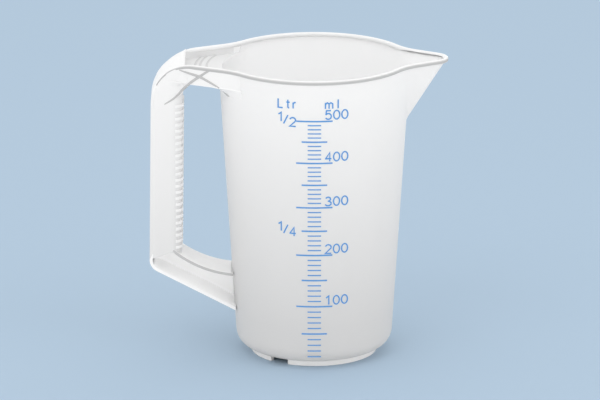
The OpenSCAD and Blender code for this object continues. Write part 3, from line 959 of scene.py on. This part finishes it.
    def build(self) -> bpy.types.Object:
        """Models the handle's shells and unites them into one moulding."""
        jug = self.jug
        low = jug.tray_floor - jug.wall
        cover = jug.wall + self.tray_cover
        under_reach = jug.grip_inner + self.finger_radius
        shells = [
            self.grip(),
            self.shoulder(),
            self.flank(Side.FRONT),
            self.flank(Side.REAR),
            self.floor_plate("tray_floor", low, jug.tray_floor, jug.tray_reach + self.overlap, cover),
            self.floor_plate("underside", jug.hole_top, low + self.hidden, under_reach, self.overlap),
            self.end_wall(),
            self.cup_collar(),
            self.grip_collar(),
            self.upper_plate(),
            self.lower_plate(),
            self.web(),
        ]
        handle = unite(shells)
        handle.name = "handle_moulding"
        smooth(handle)
        return handle


@dataclass
class Beads:
    """The two crossing beads on each flank, laid on the surfaces that the camera sees below them."""

    grounds: Sequence[bpy.types.Object]
    falling: tuple[Point, ...] = (
        (-67.3, 117.4), (-62.6, 120.5), (-58.4, 124.9), (-54.5, 128.1), (-51.4, 130.1), (-48.0, 132.3), (-44.9, 133.4),
    )
    rising: tuple[Point, ...] = (
        (-60.5, 133.4), (-56.2, 131.8), (-51.4, 130.1), (-47.0, 127.6), (-42.6, 124.8), (-38.0, 120.9),
    )
    elevation: float = 16.3
    plane: float = -10.0
    half_width: float = 0.6
    height: float = 0.4
    steps: int = 30
    section_steps: int = 6
    jump: float = 5.0
    least_stations: int = 4
    end_share: float = 0.03
    soft_angle: float = 60.0
    trees: list[BVHTree] = field(default_factory=list, init=False)

    def ground_at(self, x: float, z: float) -> tuple[Vector, Vector] | None:
        """Finds the surface seen at a place of the drawing plane, looking down at the camera's elevation."""
        rise = math.radians(self.elevation)
        look = Vector((0.0, math.cos(rise), -math.sin(rise)))
        start = metres(x, self.plane, z) - look * 0.1
        best = None
        for tree in self.trees:
            spot, normal, _, distance = tree.ray_cast(start, look)
            if spot and spot.y < 0 and (best is None or distance < best[2]):
                best = (spot / MM, normal, distance)
        return best[:2] if best else None

    def runs(self, drawn: Sequence[Point]) -> list[list[tuple[Vector, Vector]]]:
        """Gives places and normals on the surfaces under a drawn line, with a new run where one drops to the next."""
        found = [[]]
        spans = len(drawn) - 1
        for i in range(self.steps + 1):
            along = spans * i / self.steps
            k = min(int(along), spans - 1)
            t = along - k
            before, one, two, after = (drawn[max(min(n, spans), 0)] for n in (k - 1, k, k + 1, k + 2))
            curve = [
                0.5 * (2 * b + (c - a) * t + (2 * a - 5 * b + 4 * c - d) * t**2 + (3 * b - a - 3 * c + d) * t**3)
                for a, b, c, d in zip(before, one, two, after)
            ]
            hit = self.ground_at(*curve)
            if hit:
                if found[-1] and (hit[0] - found[-1][-1][0]).length > self.jump:
                    found.append([])
                found[-1].append(hit)
        return [run for run in found if len(run) >= self.least_stations]

    def bead(self, name: str, ground: Sequence[tuple[Vector, Vector]], side: Side) -> bpy.types.Object:
        """Models one bead with tapered ends."""
        last = len(ground) - 1
        rings = []
        for i, (spot, normal) in enumerate(ground):
            along = (ground[min(i + 1, last)][0] - ground[max(i - 1, 0)][0]).normalized()
            across = along.cross(normal).normalized()
            full = math.sin(math.pi * (self.end_share + (1.0 - 2 * self.end_share) * i / last)) ** 0.5
            ring = []
            for k in range(self.section_steps + 1):
                turn = heading(180.0 * k / self.section_steps)
                ring.append(spot + across * self.half_width * full * turn[0] + normal * self.height * full * turn[1])
            for turn in (-1.0, 1.0):
                ring.append(spot + across * self.half_width * full * turn - normal * self.height)
            rings.append([(v.x, -side.value * v.y, v.z) for v in ring])
        return through_rings(name, rings)

    def build(self) -> bpy.types.Object:
        """Models both beads of each flank as one piece."""
        graph = bpy.context.evaluated_depsgraph_get()
        self.trees = [BVHTree.FromObject(ground, graph) for ground in self.grounds]
        beads = []
        for way, drawn in (("falling", self.falling), ("rising", self.rising)):
            for i, run in enumerate(self.runs(drawn)):
                log.info("%s bead %d: %d stations", way, i, len(run))
                beads += [self.bead(f"{way}_{side.name.lower()}_{i}", run, side) for side in Side]
        piece = join(beads)
        piece.name = "crossing_beads"
        smooth(piece, self.soft_angle)
        return piece


@dataclass
class TrayRibs:
    """The three low curved ribs across the tray."""

    jug: Jug = JUG
    radii: tuple[float, ...] = (48.4, 51.4, 53.6)
    half_width: float = 0.5
    height: float = 0.2
    sink: float = 0.2
    steps: int = 24
    flank_bite: float = 0.3
    turn_step: float = 0.1
    soft_angle: float = 50.0

    def half_turn(self, radius: float) -> float:
        """Finds how far a rib runs to each side, in degrees, until it is inside the tray's flank."""
        turn = 0.0
        x, y = polar(radius, turn)
        while y < self.jug.flank_y(-x, self.jug.wall - self.flank_bite):
            turn += self.turn_step
            x, y = polar(radius, turn)
        return turn

    def build(self) -> bpy.types.Object:
        """Models the ribs as one piece."""
        floor = self.jug.tray_floor
        ribs = []
        for radius in self.radii:
            half = self.half_turn(radius)
            section = [(radius + side * self.half_width, floor - self.sink) for side in (-1, 1)]
            for out in map(heading, range(0, 181, 30)):
                section.append((radius + self.half_width * out[0], floor + self.height * out[1]))
            rings = []
            for i in range(self.steps + 1):
                turn = 180.0 - half + 2.0 * half * i / self.steps
                rings.append([(*polar(r, turn), z) for r, z in section])
            ribs.append(through_rings(f"tray_rib_{len(ribs)}", rings))
        piece = join(ribs)
        piece.name = "tray_rib_lines"
        smooth(piece, self.soft_angle)
        return piece


@dataclass(frozen=True)
class Graph:
    """The node tree of a material or a node group while it is built."""

    tree: bpy.types.NodeTree

    def add(self, kind: str, inputs: dict[str | int, object] | None = None, **settings: object) -> bpy.types.Node:
        """Adds a node with its settings and the constants on its inputs."""
        node = self.tree.nodes.new(kind)
        for name, value in settings.items():
            setattr(node, name, value)
        for name, value in (inputs or {}).items():
            node.inputs[name].default_value = value
        return node

    def mix(self, first: Colour, second: Colour) -> bpy.types.Node:
        """Adds a node that mixes two colours."""
        return self.add("ShaderNodeMix", {"A": (*first, 1.0), "B": (*second, 1.0)}, data_type="RGBA")

    def wire(self, *wires: tuple[bpy.types.Node, str, bpy.types.Node, str | int]) -> None:
        """Links outputs to inputs, each wire given as node, output, node and input."""
        for source, output, target, entry in wires:
            self.tree.links.new(source.outputs[output], target.inputs[entry])


def new_material(name: str) -> tuple[bpy.types.Material, Graph, bpy.types.Node]:
    """Makes a material, and gives it with its graph and its shader."""
    made = bpy.data.materials.new(name)
    made.use_nodes = True
    return made, Graph(made.node_tree), made.node_tree.nodes["Principled BSDF"]


def flow_marks() -> bpy.types.NodeTree:
    """Makes the node group that all plastic shares: cloudy streaks along the flow and a fine satin relief."""
    tree = bpy.data.node_groups.new("flow_marks", "ShaderNodeTree")
    tree.interface.new_socket("Streaks", in_out="OUTPUT", socket_type="NodeSocketFloat")
    tree.interface.new_socket("Relief", in_out="OUTPUT", socket_type="NodeSocketVector")
    graph = Graph(tree)
    place = graph.add("ShaderNodeTexCoord")
    stretch = graph.add("ShaderNodeMapping", {"Scale": (1.0, 1.0, 0.3)})
    streaks = graph.add("ShaderNodeTexNoise", {"Scale": 55.0, "Detail": 3.0})
    spread = graph.add("ShaderNodeMapRange", {"From Min": 0.35, "From Max": 0.65})
    grain = graph.add("ShaderNodeTexNoise", {"Scale": 1400.0})
    relief = graph.add("ShaderNodeBump", {"Strength": 0.05, "Distance": 0.0001})
    out = graph.add("NodeGroupOutput")
    graph.wire(
        (place, "Object", stretch, "Vector"), (stretch, "Vector", streaks, "Vector"),
        (streaks, "Fac", spread, "Value"), (spread, "Result", out, "Streaks"),
        (place, "Object", grain, "Vector"), (grain, "Fac", relief, "Height"), (relief, "Normal", out, "Relief"),
    )
    return tree


@dataclass(frozen=True)
class Plastic:
    """A copy of the milky polypropylene's material, with a tone that changes with height; tones below white are
    painted shade, and a low tone below the high one paints it darker towards the bottom.
    """

    name: str
    low_tone: float
    high_tone: float
    low_height: float = 20.0
    high_height: float = 128.0
    # Darker tone that paints shade where a piece's painted rim shade weights are set.
    painted_rim_shade_tone: float = 0.52
    streak_depth: float = 0.01
    low_roughness: float = 0.42
    roughness: float = 0.5
    clear_height: float = 5.0
    clear_run: float = 60.0
    transmission: float = 0.15
    subsurface: float = 0.0
    subsurface_scale: float = 0.02
    ior: float = 1.49

    def material(self, flow: bpy.types.NodeTree) -> bpy.types.Material:
        """Makes the finish's material round the shared flow marks."""
        made, graph, shader = new_material(self.name)
        marks = graph.add("ShaderNodeGroup", node_tree=flow)
        place = graph.add("ShaderNodeTexCoord")
        split = graph.add("ShaderNodeSeparateXYZ")
        # Painted shade: the base colour runs from high_tone at the top down to low_tone at the bottom.
        rise = graph.add("ShaderNodeMapRange", {"From Min": self.low_height * MM, "From Max": self.high_height * MM})
        tone = graph.mix((self.low_tone,) * 3, (self.high_tone,) * 3)
        # Painted shade: the rim lip's outer face is mixed towards the darker tone by its vertex weights.
        attribute = graph.add("ShaderNodeAttribute", attribute_name=PAINTED_RIM_SHADE)
        painted_rim_shade = graph.mix((0.0,) * 3, (self.painted_rim_shade_tone,) * 3)
        cloudy = graph.mix((0.0,) * 3, (0.0,) * 3)
        depth = graph.add("ShaderNodeMath", {1: self.streak_depth}, operation="MULTIPLY")
        heights = {"From Min": self.clear_height * MM, "From Max": (self.clear_height + self.clear_run) * MM}
        rough = graph.add("ShaderNodeMapRange", {**heights, "To Min": self.low_roughness, "To Max": self.roughness})
        graph.wire(
            (place, "Object", split, "Vector"), (split, "Z", rise, "Value"), (rise, "Result", tone, "Factor"),
            (tone, "Result", painted_rim_shade, "A"), (attribute, "Fac", painted_rim_shade, "Factor"), (painted_rim_shade, "Result", cloudy, "A"),
            (marks, "Streaks", depth, 0), (depth, "Value", cloudy, "Factor"),
            (cloudy, "Result", shader, "Base Color"), (split, "Z", rough, "Value"),
            (rough, "Result", shader, "Roughness"), (marks, "Relief", shader, "Normal"),
        )
        shader.inputs["IOR"].default_value = self.ior
        shader.inputs["Transmission Weight"].default_value = self.transmission
        shader.inputs["Subsurface Weight"].default_value = self.subsurface
        shader.inputs["Subsurface Radius"].default_value = (1.0, 1.0, 1.0)
        shader.inputs["Subsurface Scale"].default_value = self.subsurface_scale
        return made


@dataclass(frozen=True)
class Ink:
    """Screen-printed blue ink, a little uneven like a print through a mesh."""

    colour: Colour = (0.07, 0.28, 0.66)
    thin_colour: Colour = (0.11, 0.34, 0.71)
    mesh_scale: float = 900.0
    roughness: float = 0.45

    def material(self) -> bpy.types.Material:
        """Makes the ink's material."""
        made, graph, shader = new_material("blue_ink")
        place = graph.add("ShaderNodeTexCoord")
        mesh = graph.add("ShaderNodeTexNoise", {"Scale": self.mesh_scale})
        tone = graph.mix(self.colour, self.thin_colour)
        graph.wire(
            (place, "Object", mesh, "Vector"), (mesh, "Fac", tone, "Factor"),
            (tone, "Result", shader, "Base Color"),
        )
        shader.inputs["Roughness"].default_value = self.roughness
        return made


@dataclass
class Studio:
    """The camera, the floor and the light."""

    target: Place = (-0.0064, 0.0, 0.0698)
    distance: float = 3.0
    elevation: float = 16.3
    lens: float = 398.0
    view_end: float = 50.0
    floor_colour: Colour = (0.44, 0.561, 0.686)
    bounce_colour: Colour = (0.98, 0.98, 0.98)
    world_strength: float = 1.0
    key_place: Place = (-0.6, -0.9, 1.3)
    key_power: float = 2.0
    fill_place: Place = (0.9, -0.5, 0.9)
    fill_power: float = 1.0
    lamp_size: float = 0.9
    floor_size: float = 12.0

    def aim(self, thing: bpy.types.Object, along: Vector) -> None:
        """Turns a camera or a lamp to look along a direction."""
        thing.rotation_mode = "QUATERNION"
        thing.rotation_quaternion = along.to_track_quat("-Z", "Y")

    def camera(self) -> None:
        """Adds the camera at the photograph's angle."""
        rise = math.radians(self.elevation)
        away = Vector((0.0, -math.cos(rise), math.sin(rise)))
        deselect()
        bpy.ops.object.camera_add(location=Vector(self.target) + away * self.distance)
        camera = bpy.context.object
        camera.name = "camera"
        self.aim(camera, -away)
        camera.data.lens = self.lens
        camera.data.clip_end = self.view_end
        bpy.context.scene.camera = camera

    def floor(self) -> None:
        """Adds the plain floor: pale blue in the picture and seen in or through the object, near white as a light."""
        deselect()
        bpy.ops.mesh.primitive_plane_add(size=self.floor_size)
        floor = bpy.context.object
        floor.name = "floor"
        made, graph, shader = new_material("pale_floor")
        shader.inputs["Roughness"].default_value = 1.0
        shader.inputs["Specular IOR Level"].default_value = 0.0
        path = graph.add("ShaderNodeLightPath")
        mix = graph.mix(self.bounce_colour, self.floor_colour)
        source, output = path, "Is Camera Ray"
        for kind in ("Is Glossy Ray", "Is Transmission Ray"):
            either = graph.add("ShaderNodeMath", operation="ADD", use_clamp=True)
            graph.wire((source, output, either, 0), (path, kind, either, 1))
            source, output = either, "Value"
        graph.wire((source, output, mix, "Factor"), (mix, "Result", shader, "Base Color"))
        floor.data.materials.append(made)

    def light(self) -> None:
        """Adds the soft light of a white studio."""
        scene = bpy.context.scene
        world = scene.world or bpy.data.worlds.new("studio")
        scene.world = world
        world.use_nodes = True
        background = world.node_tree.nodes["Background"]
        background.inputs["Color"].default_value = (1.0, 1.0, 1.0, 1.0)
        background.inputs["Strength"].default_value = self.world_strength
        for name, place, power in (
            ("key_light", self.key_place, self.key_power), ("fill_light", self.fill_place, self.fill_power),
        ):
            deselect()
            bpy.ops.object.light_add(type="AREA", location=place)
            lamp = bpy.context.object
            lamp.name = name
            lamp.data.size = self.lamp_size
            lamp.data.energy = power
            self.aim(lamp, Vector(self.target) - Vector(place))

    def build(self) -> None:
        """Adds everything round the object."""
        bpy.context.scene.view_settings.view_transform = "Standard"
        self.camera()
        self.floor()
        self.light()


Choice = Callable[[Vector, Vector], bool]


def dress(piece: bpy.types.Object, material: bpy.types.Material) -> None:
    """Gives a piece its main material."""
    piece.data.materials.clear()
    piece.data.materials.append(material)


def paint(piece: bpy.types.Object, material: bpy.types.Material, chosen: Choice) -> None:
    """Gives a further material to the faces that a test of centre, in millimetres, and normal picks."""
    if material.name not in piece.data.materials:
        piece.data.materials.append(material)
    piece.active_material_index = piece.data.materials.find(material.name)
    on_faces(
        piece,
        lambda face: chosen(face.calc_center_median() / MM, face.normal),
        bpy.ops.object.material_slot_assign,
    )


def ride(piece: bpy.types.Object, nodes: Sequence[str]) -> None:
    """Rides a new piece on the body, hides the nodes that it stands for and reports it."""
    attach(piece, BODY)
    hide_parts(*nodes)
    log.info("%s: %d faces, stands for %s", piece.name, len(piece.data.polygons), ", ".join(nodes))


@dataclass(frozen=True)
class Facing:
    """Least parts of a face's normal that tell which way the face looks."""

    level: float = 0.95
    upright: float = 0.9
    along: float = 0.7
    across: float = 0.6
    upward: float = 0.5
    tray: float = 0.3
    shoulder: float = 0.2


@dataclass
class Moulding:
    """The whole moulding: its pieces and the copies of its plastic, the darker copies being painted shade."""

    cup: Cup = field(default_factory=Cup)
    handle: Handle = field(default_factory=Handle)
    # Painted shade on the cup's outside: darker towards the bottom.
    outside: Plastic = Plastic("shaded_satin_outside", 0.71, 0.99)
    inside: Plastic = Plastic("glossy_inside", 1.0, 1.0, roughness=0.45, transmission=0.1, subsurface=1.0)
    clear: Plastic = Plastic("clear_web", 1.0, 1.0, transmission=0.0, subsurface=1.0)
    # Painted shade on the handle: darker towards the bottom and a little grey at the top.
    grip: Plastic = Plastic("shaded_milky_grip", 0.74, 0.93, transmission=0.05)
    skin: Plastic = Plastic("milky_skin", 0.98, 0.98, transmission=0.05)
    # Painted shade: dark grey for the upper plate's near edges and the crossing beads.
    edge: Plastic = Plastic("painted_shade_edge", 0.55, 0.55, transmission=0.05)
    level: Plastic = Plastic("milky_floor", 1.0, 1.0, transmission=0.1)
    # Painted shade: the tray's recess in a light grey.
    tray: Plastic = Plastic("shaded_milky_tray", 0.87, 0.87, transmission=0.1)
    # Painted shade: the tray ribs in a mid grey so that they read as lines.
    rib: Plastic = Plastic("shaded_milky_rib", 0.7, 0.7, transmission=0.1)
    facing: Facing = Facing()
    handle_from: float = -20.0
    tray_from: float = -30.0
    pocket_top: float = 52.0
    arm_middle: float = 3.0
    cup_skin: float = 0.05
    bright_skin: float = 0.2
    tray_skin: float = 0.3
    end_skin: float = 0.1
    edge_skin: float = 0.3
    web_inset: float = 0.1
    grip_margin: float = 0.7
    floor_margin: float = 1.0
    floor_reach: float = 2.5
    soft_angle: float = 40.0

    def on_cup(self, centre: Vector) -> bool:
        """Tells whether a place lies on the cup rather than on the handle."""
        reach = self.handle.jug.outer_radius(centre.z) + self.cup_skin
        return centre.x > self.handle_from or math.hypot(centre.x, centre.y) < reach

    def inside_cup(self, centre: Vector, normal: Vector) -> bool:
        """Tells whether a face of the cup looks inward."""
        inward = centre.x * normal.x + centre.y * normal.y < 0 and normal.z < self.facing.level
        return self.on_cup(centre) and inward and centre.z > self.cup.foot_height + self.floor_margin

    def cup_floor(self, centre: Vector, normal: Vector) -> bool:
        """Tells whether a face is part of the cup's floor, seen from above."""
        low = centre.z < self.cup.foot_height + self.floor_reach
        return self.on_cup(centre) and low and normal.z > self.facing.upward

    def on_handle(self, centre: Vector, normal: Vector) -> bool:
        """Tells whether a face belongs to the handle."""
        return not self.on_cup(centre)

    def handle_bright(self, centre: Vector, normal: Vector) -> bool:
        """Tells whether a face lies in the tray, over the shoulder or on top of the arm's upper plate; these keep a
        near-white copy instead of the grip's painted shade.
        """
        jug = self.handle.jug
        if self.on_cup(centre):
            return False
        if centre.z > jug.tray_floor - self.bright_skin:
            return normal.z > self.facing.tray or centre.y * normal.y < 0 or abs(normal.x) > self.facing.along
        if centre.z > jug.height - jug.shoulder_radius:
            return normal.z > self.facing.shoulder
        if normal.z > self.facing.upward:
            return centre.z < self.handle.plate_top
        return abs(normal.y) > self.facing.upright and centre.z < self.handle.grip_low + self.grip_margin

    def in_tray(self, centre: Vector, normal: Vector) -> bool:
        """Tells whether a face is the tray's floor or one of its walls."""
        jug = self.handle.jug
        along = -jug.tray_reach - self.end_skin < centre.x < self.tray_from
        if centre.z < jug.tray_floor - self.tray_skin or not along:
            return False
        if normal.z > self.facing.level:
            return centre.z < jug.tray_floor + self.tray_skin
        return not self.on_cup(centre) and (centre.y * normal.y < 0 or normal.x > self.facing.along)

    def in_pocket(self, centre: Vector, normal: Vector) -> bool:
        """Tells whether a face of the lower arm is the web or the upper plate's underside."""
        if self.on_cup(centre) or centre.z > self.pocket_top:
            return False
        line, up = self.arm_line(centre.x), self.facing.upward
        web = abs(normal.y) > self.facing.upright and abs(centre.y) < self.handle.jug.grip_half - self.web_inset
        return web or normal.z < -up and centre.z > line or normal.z > up and centre.z < line

    def shaded_plate_edge(self, centre: Vector, normal: Vector) -> bool:
        """Tells whether a face is the near edge of the arm's upper plate, which is painted dark grey as shade."""
        return (
            not self.on_cup(centre)
            and abs(normal.y) > self.facing.across
            and abs(centre.y) > self.handle.jug.grip_half - self.edge_skin
            and centre.z < self.handle.plate_top
            and centre.x > -self.handle.jug.grip_inner - self.handle.finger_radius
            and centre.z > self.arm_line(centre.x)
        )

    def arm_line(self, x: float) -> float:
        """Gives a height between the arm's two plates, at a place along the handle."""
        middle = self.handle.plate_middle
        rise = self.handle.plate_radius + self.arm_middle
        return middle[1] - math.sqrt(rise**2 - (x - middle[0]) ** 2)

    def build(self) -> None:
        """Models every piece and gives its faces the copies of the plastic, with painted shade on the darker ones."""
        flow = flow_marks()
        outside, skin, edge, rib = (f.material(flow) for f in (self.outside, self.skin, self.edge, self.rib))
        body = unite([self.cup.build(), self.handle.build()])
        body.name = "jug_moulding"
        smooth(body, self.soft_angle)
        dress(body, outside)
        for material, chosen in (
            (self.inside.material(flow), self.inside_cup), (self.grip.material(flow), self.on_handle),
            (skin, self.handle_bright), (self.level.material(flow), self.cup_floor),
            (self.clear.material(flow), self.in_pocket), (self.tray.material(flow), self.in_tray),
            (edge, self.shaded_plate_edge),
        ):
            paint(body, material, chosen)
        ride(
            body,
            [
                "side_wall", "base_corner", "floor_plate", "spout_front", "spout_rear",
                "bridge_side_front", "bridge_side_rear", "bridge_underside", "thumb_tray", "shoulder_cap",
                "grip_shell", "arm_upper_plate", "arm_lower_plate", "arm_web",
            ],
        )
        for piece, material, node in (
            (FootRing().build(), skin, "foot_ring"), (Rim().build(), skin, "rim_lip"),
            # The beads take the dark grey painted shade, the tray ribs a mid grey painted shade.
            (Beads([body]).build(), edge, "bridge_beads"), (TrayRibs().build(), rib, "tray_ribs"),
        ):
            dress(piece, material)
            ride(piece, [node])
        dress(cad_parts["finger_ribs"], skin)


def main() -> None:
    """Builds the studio, the moulding and the printed scale."""
    logging.basicConfig(level=logging.INFO, format="%(message)s")
    Studio().build()
    Moulding().build()
    ink = Ink().material()
    for name in ("hundred_lines", "fifty_lines", "ten_ticks", "volume_numerals", "fraction_marks", "unit_headings"):
        dress(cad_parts[name], ink)
        log.info("%s: printed", name)


if __name__ == "__main__":
    main()
